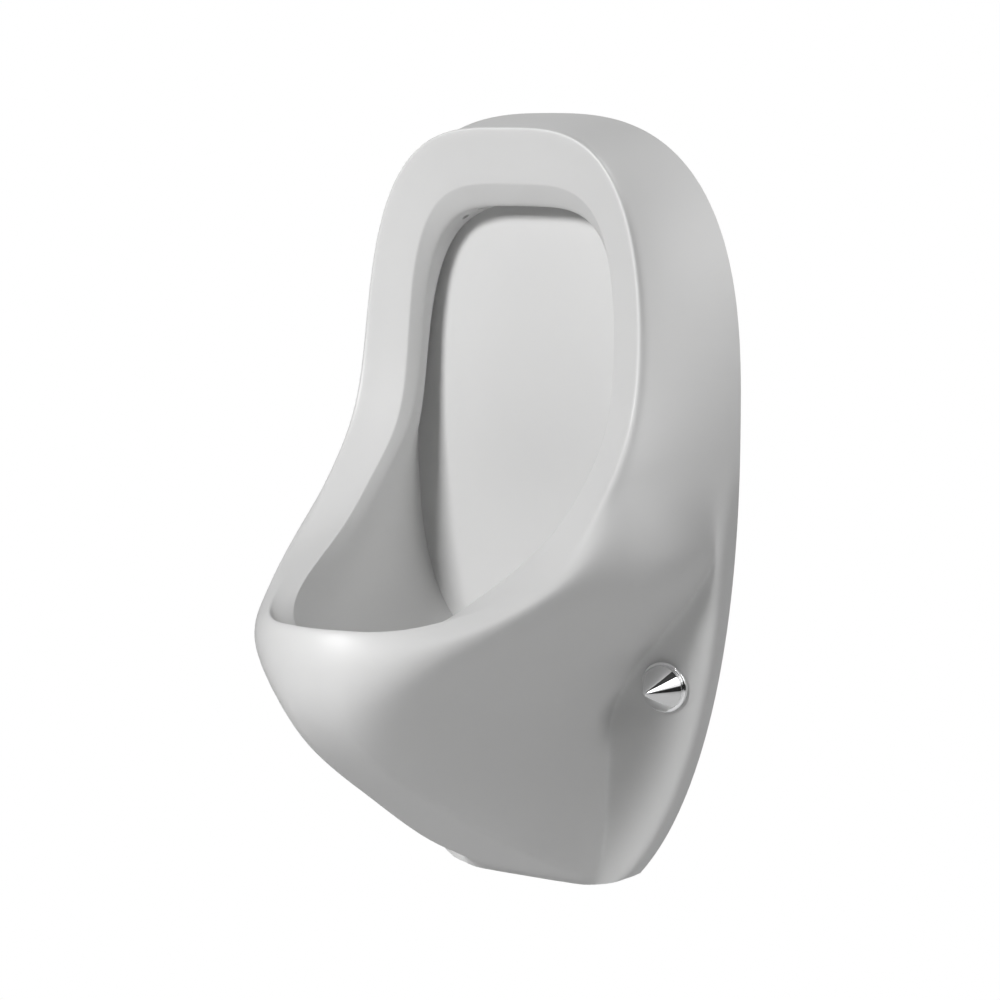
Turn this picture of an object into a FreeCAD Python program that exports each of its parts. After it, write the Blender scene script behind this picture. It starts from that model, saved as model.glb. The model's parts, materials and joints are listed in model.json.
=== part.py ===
import FreeCAD
import Part
import math
import os

# A wall-hung urinal of glazed ceramic. Heights are measured up from the flat foot of the casting,
# reaches are measured out from the wall, and x runs to the right of a person who faces the wall.
# The finished pieces are moved so that the origin lies on the wall, midway between the two fixings.

V = FreeCAD.Vector
UP = V(0, 0, 1)
DOWN = V(0, 0, -1)
OUT = V(0, -1, 0)
IN = V(0, 1, 0)

# Overall sizes of the casting
HEIGHT = 565.0
WIDTH = 318.0
LIP_REACH = 302.5
LIP_HEIGHT = 226.0

# Outline on the wall, an egg that is cut flat at the foot
WIDEST_HEIGHT = 345.0
OUTLINE_DROP = 30.0
SHOULDER_POWER = 2.75
HIP_POWER = 2.26

# Crest of the rim, which runs round the arch and swings forward into the lip
CREST_INSET = 43.5
CREST_DROP = 11.0
CREST_MIDDLE = 321.5
CREST_UPPER_POWER = 3.3
CREST_LOWER_POWER = 3.35
RIM_REACH = 63.5
LIP_TURN_DEG = 136.0
LIP_SPREAD_DEG = 10.0
ARM_TURN_DEG = 100.5
ARM_SPREAD_DEG = 16.0

# Inner edge of the rim, and the step behind it that hangs over the splash panel
RIM_SIDE = 28.0
RIM_TOP = 39.5
RIM_LIP_DROP = 15.5
RIM_LIP_DEPTH = 37.0
RIM_FALL = 12.5
RIM_UPPER_POWER = 4.0
RIM_LOWER_POWER = 2.5
STEP_SIDE = 4.0
STEP_DROP = 16.0
STEP_DEPTH = 12.0

# Splash panel and bowl
PANEL_REACH = 16.0
PANEL_INSET = 55.0
PANEL_TOP_DROP = 64.0
PANEL_RISE = 18.0
PANEL_MIDDLE = 350.0
PANEL_UPPER_POWER = 2.6
PANEL_LOWER_POWER = 3.0
BOWL_SAG = 28.0

# Skirt, belly and the flange that lies on the wall
FLANGE_THICKNESS = 22.0
FLANGE_RISE = 108.0
FLANGE_FALL = 41.0
SKIRT_RISE = 66.0
SKIRT_FALL = 39.0
SKIRT_HALF = 67.5
BELLY_BULGE = 20.5
ROOT_STEP = 2.0
ROOT_SOFTNESS = 12.0

# Wall of the casting and the rest of its hollow
SHELL = 10.0
CONTACT_WIDTH = 16.0
CORNER_SPREAD = 13.0
FLUSH_WEB = 10.0
FLUSH_DROP = 57.0
WEB_TURN_DEG = 142.0
WEB_SPREAD_DEG = 20.0
WEB_POWER = 4
OVERRUN = 30.0

# Shares that place the control rings between the wall and the crest on the arch
ARCH_SHARES = (0.0, 0.10, 0.22, 0.36, 0.50, 0.62, 0.74, 0.86, 0.94)
HALFWAY_SHARE = 0.50
# Shares across, up, forward and of the bulge, for the rings between the skirt's root and the crest
SKIRT_SHARES = ((0.08, 0.025, 0.03, 0.35), (0.35, 0.16, 0.29, 0.88),
                (0.84, 0.41, 0.63, 1.04), (1.11, 0.73, 1.06, 1.0))
# Shares of the way from the crest to the inner edge of the rim
RIM_SHARES = (0.22, 0.80, 1.0)
# Shares across, back on the arch, back in the bowl and of the sag, from the step to the panel
BOWL_SHARES = ((0.10, 0.45, 0.14, 0.35), (0.40, 0.72, 0.45, 0.90), (0.72, 0.90, 0.80, 0.80),
               (0.96, 0.97, 0.93, 0.30), (1.0, 1.0, 1.0, 0.0))
ARM_SHARE = 0.43
FLANGE_EDGE_SHARE = 0.65
FLANGE_FACE_SHARE = 0.985
FLANGE_MIDDLE_SHARE = 0.15
ROOT_SHARE = 0.97
PINCH_SHARE = 0.9
PINCH_POWER = 4
PANEL_REAR_SHARE = 0.93
WEB_LEVEL_SHARES = (0.36, 0.58)
THIN_SHARE = 0.4
# Rings of the skin, counted from the wall, that the hollow follows outside and in the bowl
OUTER_RINGS = (5, 6, 7)
BOWL_RINGS = (15, 16)
STATIONS = 60
POLE_SWEEPS = 60

# Drain, waste and strainer
DRAIN_REACH = 62.0
SEAT_HEIGHT = 147.0
BOSS_THICKNESS = 14.0
BOSS_RADIUS = 50.0
DISH_HEIGHT = 12.0
DISH_SPREAD = 11.0
WASTE_RADIUS = 22.0
WASTE_WALL = 2.5
WASTE_LENGTH = 43.0
WASTE_FLANGE_RADIUS = 32.0
WASTE_FLANGE_THICKNESS = 3.0
SEAL_THICKNESS = 2.0
LOWER_SEAL_THICKNESS = 3.0
SEAL_RADIUS = 34.0
BACKNUT_FLATS = 60.0
BACKNUT_THICKNESS = 10.0
FIT_CLEARANCE = 0.2
SLIDE_CLEARANCE = 0.3
HOLE_CLEARANCE = 1.5
STRAINER_RADIUS = 28.0
STRAINER_THICKNESS = 1.5
STRAINER_RISE = 7.0
STRAINER_STEPS = 6
STRAINER_SPIGOT_LENGTH = 9.0
STRAINER_SLOT_WIDTH = 4.0
STRAINER_SLOT_COUNT = 10
STRAINER_SLOT_INNER = 7.0
STRAINER_SLOT_OUTER = 16.5
STRAINER_KNOB_RADIUS = 3.5
STRAINER_KNOB_HEIGHT = 5.0

# Bottle trap inside the skirt
TRAP_WALL = 3.0
TRAP_RADIUS = 27.0
TRAP_SHOULDER = 2.0
TRAP_HEIGHT = 42.0
NECK_HEIGHT = 8.0
JOINT_SEAL = 2.5
NUT_LIP = 2.5
NUT_WALL = 3.6
INLET_NUT_SKIRT = 7.5
OUTLET_NUT_SKIRT = 9.5
NUT_SCALLOP_COUNT = 12
NUT_SCALLOP_RADIUS = 3.0
NUT_SCALLOP_DEPTH = 1.2
CUP_HEIGHT = 14.0
CUP_WALL = 2.5
CUP_LIP = 2.5
CUP_ROUND = 2.0
CUP_RIB_COUNT = 8
CUP_RIB_RADIUS = 3.0
CUP_RIB_PROUD = 1.5
THREAD_SKIRT = 8.0
DIP_RADIUS = 15.0
DIP_DROP = 8.0
PIPE_RADIUS = 16.0
PIPE_WALL = 1.8
PIPE_INTO_WALL = 45.0
PIPE_BEAD = 1.5
PIPE_BEAD_LENGTH = 3.0
SOCKET_DEPTH = 10.0
STUB_END = 24.0

# Water inlet behind the arch
INLET_DROP = 41.0
INLET_HOLE_RADIUS = 12.0
INLET_PIPE_RADIUS = 9.0
INLET_PIPE_WALL = 2.0
INLET_SPIGOT_RADIUS = 8.4
INLET_INTO_WALL = 40.0
INLET_INSIDE = 18.0
GROMMET_LIP = 3.0
GROMMET_LIP_RADIUS = 14.0
FLUSH_HOLE_RADIUS = 2.5
FLUSH_HOLE_COUNT = 9
FLUSH_HOLE_SPAN = 108.0
FLUSH_HOLE_REACH = 28.0
FLUSH_HOLE_LENGTH = 34.0

# Lower wall fixings with their caps
FIXING_INSET = 47.0
FIXING_HEIGHT = 156.0
FIXING_HOLE_RADIUS = 8.0
SPOT_RADIUS = 19.5
SPOT_DEPTH = 0.6
BOLT_RADIUS = 4.0
SHANK_RADIUS = 3.6
BOLT_INTO_WALL = 60.0
BOLT_POINT = 6.0
BOLT_PROUD = 4.0
SLEEVE_START = 2.0
SLEEVE_COLLAR_RADIUS = 11.0
SLEEVE_COLLAR_THICKNESS = 2.0
WASHER_RADIUS = 9.0
WASHER_THICKNESS = 1.6
NUT_FLATS = 13.0
NUT_THICKNESS = 6.5
CAP_BASE_RADIUS = 18.5
CAP_BASE_THICKNESS = 4.0
CAP_BASE_HOLE = 12.0
CAP_BASE_ROUND = 1.0
CAP_SPIGOT_RADIUS = 14.5
CAP_RADIUS = 16.5
CAP_LENGTH = 27.0
CAP_TIP_RADIUS = 2.2
CAP_TIP_ROUND = 1.0
CAP_SKIRT = 3.0

# Hidden hanger brackets that carry the top of the casting
HANGER_INSET = 39.0
HANGER_WIDTH = 14.0
HANGER_PLATE = 3.0
HANGER_LENGTH = 42.0
HANGER_LIP = 9.0
HANGER_GAP = 0.4
LEDGE_SHARE = 4 / 11
LEDGE_RISE = 16.0
LEDGE_NEAR = 6.0
LEDGE_FAR = 16.0
LEDGE_HALF_WIDTH = 17.0
HANGER_SCREW_RADIUS = 3.0
HANGER_SHANK_RADIUS = 2.4
HANGER_SCREW_DROP = 28.0
HANGER_SCREW_INTO_WALL = 45.0
HANGER_HEAD_RADIUS = 5.5
HANGER_HEAD_HEIGHT = 3.0

# Places and levels that follow from the sizes above
WALL_HALF = WIDTH / 2
CREST_HALF = WALL_HALF - CREST_INSET
CREST_TOP = HEIGHT - CREST_DROP
PANEL_HALF = WALL_HALF - PANEL_INSET
PANEL_BOTTOM = SEAT_HEIGHT + PANEL_RISE
FLANGE_START = FIXING_HEIGHT + FLANGE_RISE
FLANGE_FULL = FIXING_HEIGHT - FLANGE_FALL
SKIRT_START = FLANGE_START + SKIRT_RISE
SKIRT_FULL = FLANGE_START - SKIRT_FALL
FLUSH_HEIGHT = HEIGHT - FLUSH_DROP
INLET_HEIGHT = HEIGHT - INLET_DROP
LEDGE_HEIGHT = WIDEST_HEIGHT + (HEIGHT - WIDEST_HEIGHT) * LEDGE_SHARE
HANGER_SPACING = WIDTH - 2 * HANGER_INSET
FIXING_SPACING = WIDTH - 2 * FIXING_INSET
WASTE_TOP = SEAT_HEIGHT + SEAL_THICKNESS + WASTE_FLANGE_THICKNESS
WASTE_END = SEAT_HEIGHT + SEAL_THICKNESS - WASTE_LENGTH
BOSS_UNDER = SEAT_HEIGHT - BOSS_THICKNESS
NECK_TOP = WASTE_END + NECK_HEIGHT
NECK_BORE = WASTE_RADIUS + FIT_CLEARANCE
NECK_RADIUS = NECK_BORE + TRAP_WALL
TRAP_INSIDE = TRAP_RADIUS - TRAP_WALL
TRAP_BOTTOM = WASTE_END - TRAP_HEIGHT
CUP_BOTTOM = TRAP_BOTTOM - CUP_HEIGHT
DIP_BOTTOM = TRAP_BOTTOM - DIP_DROP
CUP_RIM = TRAP_BOTTOM - SEAL_THICKNESS
CUP_THREAD = TRAP_INSIDE - FIT_CLEARANCE
SOCKET_BORE = PIPE_RADIUS + FIT_CLEARANCE
STUB_RADIUS = SOCKET_BORE + TRAP_WALL
OUTLET_HEIGHT = WASTE_END - STUB_RADIUS
FLANGE_SEAT = FLANGE_THICKNESS - SPOT_DEPTH
COLLAR_FACE = FLANGE_SEAT + SLEEVE_COLLAR_THICKNESS
WASHER_FACE = COLLAR_FACE + WASHER_THICKNESS
NUT_FACE = WASHER_FACE + NUT_THICKNESS
CAP_FACE = FLANGE_SEAT + CAP_BASE_THICKNESS
DRAIN = OUT * DRAIN_REACH


def mix(a, b, share):
    return a + (b - a) * share


def ease(share):
    """Smooth step from 0 to 1."""
    share = min(max(share, 0.0), 1.0)
    return share * share * (3 - 2 * share)


def egg(angle, half, top, bottom, middle, upper_power, lower_power):
    """Point of an egg outline, a superellipse whose upper and lower halves have their own reach and power."""
    upper = math.cos(angle) > 0
    reach = top - middle if upper else middle - bottom
    power = upper_power if upper else lower_power
    along = abs(math.cos(angle) / reach) ** power + abs(math.sin(angle) / half) ** power
    radius = along ** (-1 / power)
    return radius * math.sin(angle), middle + radius * math.cos(angle)


def fall_off(cosine, turn_deg, spread_deg):
    """Logistic step in the cosine of an angle, from 0 above the turn to 1 below it."""
    turn = math.radians(turn_deg)
    spread = math.radians(spread_deg) * math.sin(turn)
    return 1 / (1 + math.exp((cosine - math.cos(turn)) / spread))


def swing(cosine):
    """Way forward of the crest, first along the arms of the rim and then round the lip."""
    lip = fall_off(cosine, LIP_TURN_DEG, LIP_SPREAD_DEG)
    return mix(lip, fall_off(cosine, ARM_TURN_DEG, ARM_SPREAD_DEG), ARM_SHARE)


def lip_share(angle):
    """Share of the way from the arch to the lip: 0 at the top, 1 at the front of the bowl."""
    return swing(math.cos(angle)) / swing(-1.0)


def wall_point(angle):
    return egg(angle, WALL_HALF, HEIGHT, -OUTLINE_DROP, WIDEST_HEIGHT, SHOULDER_POWER, HIP_POWER)


def crest_point(angle):
    x, z = egg(angle, CREST_HALF, CREST_TOP, LIP_HEIGHT, CREST_MIDDLE, CREST_UPPER_POWER, CREST_LOWER_POWER)
    return V(x, -mix(RIM_REACH, LIP_REACH, lip_share(angle)), z)


def pinched(x):
    """Half-width of the skirt, an even pinch of the wall outline."""
    wide = abs(x) * PINCH_SHARE
    return math.copysign(wide / (1 + (wide / SKIRT_HALF) ** PINCH_POWER) ** (1 / PINCH_POWER), x)


def flange_share(z):
    """How far the flange stands free of the bowl: 0 on the arch, 1 beside the skirt."""
    return ease((FLANGE_START - z) / (FLANGE_START - FLANGE_FULL))


def skirt_points(angle):
    """Control points beside the skirt: the flange, the skirt's root and the belly."""
    x, z = wall_point(angle)
    crest = crest_point(angle)
    edge = FLANGE_THICKNESS
    root = V(mix(x * ROOT_SHARE, pinched(x), flange_share(z)), -edge, (z + math.hypot(z, ROOT_SOFTNESS)) / 2)
    points = [V(x, 0, z), V(x, -edge * FLANGE_EDGE_SHARE, z), V(x * FLANGE_FACE_SHARE, -edge, z),
              V(mix(root.x, x, FLANGE_MIDDLE_SHARE), -edge, z), root + OUT * ROOT_STEP]
    for across, rise, forward, bulge in SKIRT_SHARES:
        side = mix(root.x, crest.x, across) + BELLY_BULGE * bulge * math.sin(angle)
        points.append(V(side, mix(root.y, crest.y, forward), mix(root.z, crest.z, rise)))
    return points


def arch_points(angle):
    """Control points on the arch, straight from the wall to the crest and evenly spread near the wall."""
    x, z = wall_point(angle)
    crest = crest_point(angle)
    near = -RIM_REACH / crest.y
    points = []
    for share in ARCH_SHARES:
        if share < HALFWAY_SHARE:
            share = share * near
        else:
            share = mix(HALFWAY_SHARE * near, 1, (share - HALFWAY_SHARE) / (1 - HALFWAY_SHARE))
        points.append(mix(V(x, 0, z), crest, share))
    return points


def outer_points(angle):
    """Control points from the wall to just before the crest."""
    skirted = ease((SKIRT_START - wall_point(angle)[1]) / (SKIRT_START - SKIRT_FULL))
    return [mix(a, b, skirted) for a, b in zip(arch_points(angle), skirt_points(angle))]


def inner_points(angle):
    """Control points from the rim over the step to the edge of the splash panel."""
    half = CREST_HALF - RIM_SIDE
    crown = CREST_TOP - RIM_TOP
    foot = LIP_HEIGHT - RIM_LIP_DROP
    powers = (RIM_UPPER_POWER, RIM_LOWER_POWER)
    rim_x, rim_z = egg(angle, half, crown, foot, CREST_MIDDLE, *powers)
    step_x, step_z = egg(angle, half - STEP_SIDE, crown - STEP_DROP, foot, CREST_MIDDLE, *powers)
    panel_x, panel_z = egg(angle, PANEL_HALF, HEIGHT - PANEL_TOP_DROP, PANEL_BOTTOM, PANEL_MIDDLE,
                           PANEL_UPPER_POWER, PANEL_LOWER_POWER)
    lip = lip_share(angle)
    rim = V(rim_x, -mix(RIM_REACH - RIM_FALL, LIP_REACH - RIM_LIP_DEPTH, lip), rim_z)
    step = V(mix(step_x, rim_x, lip), rim.y + STEP_DEPTH, mix(step_z, rim_z - STEP_DEPTH, lip))
    points = [mix(crest_point(angle), rim, share) for share in RIM_SHARES] + [step]
    for across, back_arch, back_bowl, sag in BOWL_SHARES:
        reach = mix(-step.y, PANEL_REACH, mix(back_arch, back_bowl, lip))
        height = mix(step.z, panel_z, across) - BOWL_SAG * sag * lip
        points.append(V(mix(step.x, panel_x, across), -reach, height))
    return points


def skin_points(angle):
    """All control points at one angle, with the crest's pushed out so that the skin passes through it."""
    outer = outer_points(angle)
    inner = inner_points(angle)
    crest = (crest_point(angle) * 6 - outer[-1] - inner[0]) * 0.25
    return outer + [crest] + inner


def skin_grid():
    """Control points of the skin, one column for each angle."""
    return [skin_points(2 * math.pi * k / STATIONS) for k in range(STATIONS)]


def across_wall(point, other):
    """A skin point moved by the shell's thickness towards the skin on the other side, short of its middle."""
    gap = other - point
    return point + gap * min(SHELL / gap.Length, THIN_SHARE)


def into_wall(grid, column, ring):
    """A skin point moved square into the casting by the shell's thickness, above the foot."""
    round_ring = grid[(column + 1) % STATIONS][ring] - grid[column - 1][ring]
    along = grid[column][ring + 1] - grid[column][ring - 1]
    moved = grid[column][ring] + round_ring.cross(along).normalize() * SHELL
    return V(moved.x, moved.y, max(moved.z, SHELL))


def web_share(angle):
    """How far the hollow is filled by the webs between the bowl and the flange at each side."""
    fold = math.degrees(min(angle, 2 * math.pi - angle))
    return math.exp(-((fold - WEB_TURN_DEG) / WEB_SPREAD_DEG) ** WEB_POWER)


def hollow_mouth(angle):
    """Edge of the open back: inside the contact face on the arch, inside the skirt below."""
    x, z = wall_point(angle)
    middle = V(0, 0, PANEL_MIDDLE)
    arch = V(x, 0, z) + (middle - V(x, 0, z)).normalize() * CONTACT_WIDTH
    foot = V(pinched(x), 0, max(z, 0))
    skirt = foot + (middle - foot).normalize() * SHELL
    return arch + (skirt - arch) * flange_share(z)


def hollow_grid():
    """Control points of the hollow: in at the back, forward inside the wall and back behind the bowl."""
    grid = skin_grid()
    hollow = []
    for column, points in enumerate(grid):
        angle = 2 * math.pi * column / STATIONS
        mouth = hollow_mouth(angle)
        edge = points[-1]
        rear = V(edge.x * PANEL_REAR_SHARE, SHELL - PANEL_REACH, mix(PANEL_MIDDLE, edge.z, PANEL_REAR_SHARE))
        corner = edge + V(edge.x, 0, edge.z - PANEL_MIDDLE).normalize() * CORNER_SPREAD + IN * (SHELL / 2)
        near = [into_wall(grid, column, ring) for ring in OUTER_RINGS]
        front = across_wall(points[BOWL_RINGS[0]], points[OUTER_RINGS[-1]])
        behind = into_wall(grid, column, BOWL_RINGS[1])
        inside = near + [mix(near[-1], front, HALFWAY_SHARE), front, behind, corner]
        last = len(inside) - 1
        web = [mix(mouth, rear, mix(*WEB_LEVEL_SHARES, step / last)) for step in range(last + 1)]
        web = [V(point.x, rear.y, point.z) for point in web]
        inside = [mix(deep, flat, web_share(angle)) for deep, flat in zip(inside, web)]
        hollow.append([mouth + IN * OVERRUN, mouth + V(0, rear.y, 0)] + inside + [rear])
    return hollow


def ring_poles(ring):
    """Poles of a closed cubic spline that passes through the ring's points."""
    poles = list(ring)
    count = len(ring)
    for _ in range(POLE_SWEEPS):
        poles = [(ring[i] * 6 - poles[i - 1] - poles[(i + 1) % count]) * 0.25 for i in range(count)]
    return poles


def net_solid(columns):
    """Closed solid of a skin through rings of control points, with a flat cap at each end."""
    rings = [ring_poles(ring) for ring in zip(*columns)]
    poles = [list(column) for column in zip(*rings)]
    count = len(rings)
    surface = Part.BSplineSurface()
    surface.buildFromPolesMultsKnots(poles, [1] * (STATIONS + 1), [4] + [1] * (count - 4) + [4],
                                     list(range(STATIONS + 1)), list(range(count - 2)), True, False, 3, 3)
    skin = surface.toShape()
    rims = [edge for edge in skin.Edges if edge.isClosed() and edge.BoundBox.YLength < SPOT_DEPTH]
    caps = [Part.Face(Part.Wire([edge])) for edge in rims]
    shell = Part.makeShell([skin] + caps)
    shell.sewShape()
    solid = Part.makeSolid(shell)
    if solid.Volume < 0:
        solid.reverse()
    return solid


def block(x, y, z):
    """Box between pairs of limits."""
    return Part.makeBox(x[1] - x[0], y[1] - y[0], z[1] - z[0], V(x[0], y[0], z[0]))


def tube(start, axis, length, outer, inner):
    """Round tube, or a plain rod where the inner radius is zero."""
    rod = Part.makeCylinder(outer, length, start, axis)
    if inner == 0:
        return rod
    return rod.cut(Part.makeCylinder(inner, length, start, axis))


def turned(points, centre, axis):
    """Solid of revolution about an axis through centre, from (radius, distance along the axis) points."""
    wire = Part.makePolygon([V(r, 0, h) for r, h in points] + [V(points[0][0], 0, points[0][1])])
    solid = Part.Face(wire).revolve(V(0, 0, 0), V(0, 0, 1), 360)
    placement = FreeCAD.Placement(centre, FreeCAD.Rotation(V(0, 0, 1), axis))
    solid.Placement = placement
    return solid


def hexagon(flats, thickness, centre, axis, hole):
    """Hexagonal nut with a plain hole and chamfered corners."""
    corner = flats / math.sqrt(3)
    turns = [math.radians(60 * k) for k in range(7)]
    ring = [V(corner * math.cos(turn), corner * math.sin(turn), 0) for turn in turns]
    prism = Part.Face(Part.makePolygon(ring)).extrude(V(0, 0, thickness))
    fall = (corner - flats / 2) * math.tan(math.radians(30))
    rounder = turned([(0, 0), (flats / 2, 0), (corner, fall), (corner, thickness - fall),
                      (flats / 2, thickness), (0, thickness)], V(0, 0, 0), V(0, 0, 1))
    nut = prism.common(rounder).cut(Part.makeCylinder(hole, thickness))
    nut.Placement = FreeCAD.Placement(centre, FreeCAD.Rotation(V(0, 0, 1), axis))
    return nut


def drain_at(height):
    return DRAIN + V(0, 0, height)


def fixing_at(side, reach):
    return V(side * FIXING_SPACING / 2, -reach, FIXING_HEIGHT)


def hanger_ledges():
    """Bars across the hollow, one at each side, that rest on the hanger brackets."""
    bars = []
    for side in (-1, 1):
        centre = side * HANGER_SPACING / 2
        bars.append(block((centre - LEDGE_HALF_WIDTH, centre + LEDGE_HALF_WIDTH), (-LEDGE_FAR, -LEDGE_NEAR),
                          (LEDGE_HEIGHT, LEDGE_HEIGHT + LEDGE_RISE)))
    return bars


def casting_hollow():
    """The open back round the ledges and the drain's boss, and the closed flush chamber above a web."""
    hollow = net_solid(hollow_grid())
    wide = (-WIDTH, WIDTH)
    boss = Part.makeCylinder(BOSS_RADIUS, BOSS_THICKNESS + OVERRUN, drain_at(BOSS_UNDER), UP)
    lower = hollow.common(block(wide, (-LIP_REACH, OVERRUN), (0, FLUSH_HEIGHT - FLUSH_WEB)))
    upper = hollow.common(block(wide, (-LIP_REACH, -SHELL), (FLUSH_HEIGHT, HEIGHT)))
    return lower.cut(hanger_ledges() + [boss]), upper


def drain_cut():
    """Stepped hole for the waste, with a dished seat in the floor of the bowl."""
    hole = WASTE_RADIUS + HOLE_CLEARANCE
    seat = WASTE_FLANGE_RADIUS + HOLE_CLEARANCE
    return turned([(0, -BOSS_THICKNESS - OVERRUN), (hole, -BOSS_THICKNESS - OVERRUN), (hole, 0), (seat, 0),
                   (seat + DISH_SPREAD, DISH_HEIGHT), (seat + DISH_SPREAD, DISH_HEIGHT + OVERRUN),
                   (0, DISH_HEIGHT + OVERRUN)], drain_at(SEAT_HEIGHT), UP)


def flush_holes():
    """Row of small holes from the flush chamber down through the underside of the arch."""
    pitch = FLUSH_HOLE_SPAN / (FLUSH_HOLE_COUNT - 1)
    start = FLUSH_HEIGHT - FLUSH_HOLE_LENGTH / 2
    return [Part.makeCylinder(FLUSH_HOLE_RADIUS, FLUSH_HOLE_LENGTH,
                              V(pitch * k - FLUSH_HOLE_SPAN / 2, -FLUSH_HOLE_REACH, start), UP)
            for k in range(FLUSH_HOLE_COUNT)]


def ceramic_body():
    body = net_solid(skin_grid())
    below = block((-WIDTH, WIDTH), (-LIP_REACH - OVERRUN, OVERRUN), (-OUTLINE_DROP - OVERRUN, 0))
    body = body.cut(below)
    for hollow in casting_hollow():
        body = body.cut(hollow)
    inlet = Part.makeCylinder(INLET_HOLE_RADIUS, SHELL + OVERRUN, V(0, OVERRUN, INLET_HEIGHT), OUT)
    cuts = [drain_cut(), inlet] + flush_holes()
    for side in (-1, 1):
        cuts.append(Part.makeCylinder(FIXING_HOLE_RADIUS, FLANGE_THICKNESS + 2 * OVERRUN,
                                      fixing_at(side, -OVERRUN), OUT))
        cuts.append(Part.makeCylinder(SPOT_RADIUS, OVERRUN, fixing_at(side, FLANGE_SEAT), OUT))
    return body.cut(cuts)


def waste_body():
    """Flanged waste: a tube that hangs in the drain hole by its flange."""
    return turned([(WASTE_RADIUS - WASTE_WALL, WASTE_END), (WASTE_RADIUS, WASTE_END),
                   (WASTE_RADIUS, SEAT_HEIGHT + SEAL_THICKNESS),
                   (WASTE_FLANGE_RADIUS, SEAT_HEIGHT + SEAL_THICKNESS),
                   (WASTE_FLANGE_RADIUS, WASTE_TOP), (WASTE_RADIUS - WASTE_WALL, WASTE_TOP)], DRAIN, UP)


def waste_upper_seal():
    return tube(drain_at(SEAT_HEIGHT), UP, SEAL_THICKNESS, WASTE_FLANGE_RADIUS, NECK_BORE)


def waste_lower_seal():
    return tube(drain_at(BOSS_UNDER), DOWN, LOWER_SEAL_THICKNESS, SEAL_RADIUS, NECK_BORE)


def waste_backnut():
    top = drain_at(BOSS_UNDER - LOWER_SEAL_THICKNESS)
    return hexagon(BACKNUT_FLATS, BACKNUT_THICKNESS, top, DOWN, NECK_BORE)


def dome(lift):
    """Profile points of the strainer's dome from its edge to its middle."""
    points = []
    for k in range(STRAINER_STEPS):
        share = 1 - k / STRAINER_STEPS
        points.append((STRAINER_RADIUS * share, lift + STRAINER_RISE * (1 - share * share)))
    return points


def drain_strainer():
    """Domed grid with a lifting knob and a spigot that stands in the waste."""
    spigot = WASTE_RADIUS - WASTE_WALL - SLIDE_CLEARANCE
    bore = spigot - STRAINER_THICKNESS
    top = STRAINER_THICKNESS + STRAINER_RISE
    under = [(r, h) for r, h in reversed(dome(0)) if r < bore]
    plate = turned([(0, STRAINER_RISE)] + under + [(bore, STRAINER_RISE * (1 - (bore / STRAINER_RADIUS) ** 2)),
                   (bore, -STRAINER_SPIGOT_LENGTH), (spigot, -STRAINER_SPIGOT_LENGTH), (spigot, 0),
                   (STRAINER_RADIUS, 0)] + dome(STRAINER_THICKNESS) + [(0, top)], drain_at(WASTE_TOP), UP)
    slots = []
    for k in range(STRAINER_SLOT_COUNT):
        slot = block((STRAINER_SLOT_INNER, STRAINER_SLOT_OUTER),
                     (-STRAINER_SLOT_WIDTH / 2, STRAINER_SLOT_WIDTH / 2), (0, top))
        slot.rotate(V(0, 0, 0), UP, 360 * k / STRAINER_SLOT_COUNT)
        slot.translate(drain_at(WASTE_TOP))
        slots.append(slot)
    knob = Part.makeCylinder(STRAINER_KNOB_RADIUS, STRAINER_KNOB_HEIGHT + STRAINER_THICKNESS,
                             drain_at(WASTE_TOP + STRAINER_RISE), UP)
    return plate.cut(slots).fuse(knob).removeSplitter()


def trap_head():
    """Upper half of the bottle trap: neck, dip tube, chamber and the outlet stub towards the wall."""
    bore = DIP_RADIUS - TRAP_WALL
    roof = WASTE_END - TRAP_WALL
    shoulder = WASTE_END + TRAP_SHOULDER
    body = turned([(bore, DIP_BOTTOM), (DIP_RADIUS, DIP_BOTTOM), (DIP_RADIUS, roof), (TRAP_INSIDE, roof),
                   (TRAP_INSIDE, TRAP_BOTTOM), (TRAP_RADIUS, TRAP_BOTTOM), (TRAP_RADIUS, shoulder),
                   (NECK_RADIUS, shoulder), (NECK_RADIUS, NECK_TOP), (NECK_BORE, NECK_TOP),
                   (NECK_BORE, WASTE_END), (bore, WASTE_END)], DRAIN, UP)
    stub = Part.makeCylinder(STUB_RADIUS, DRAIN_REACH - STUB_END, drain_at(OUTLET_HEIGHT), IN)
    chamber = Part.makeCylinder(TRAP_INSIDE, WASTE_END - TRAP_BOTTOM, drain_at(TRAP_BOTTOM), UP)
    passage = Part.makeCylinder(PIPE_RADIUS - PIPE_WALL, DRAIN_REACH - DIP_RADIUS - FIT_CLEARANCE,
                                drain_at(OUTLET_HEIGHT) + IN * (DIP_RADIUS + FIT_CLEARANCE), IN)
    socket = Part.makeCylinder(SOCKET_BORE, SOCKET_DEPTH, V(0, -STUB_END, OUTLET_HEIGHT), OUT)
    return body.fuse(stub.cut(chamber)).cut([passage, socket]).removeSplitter()


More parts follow.
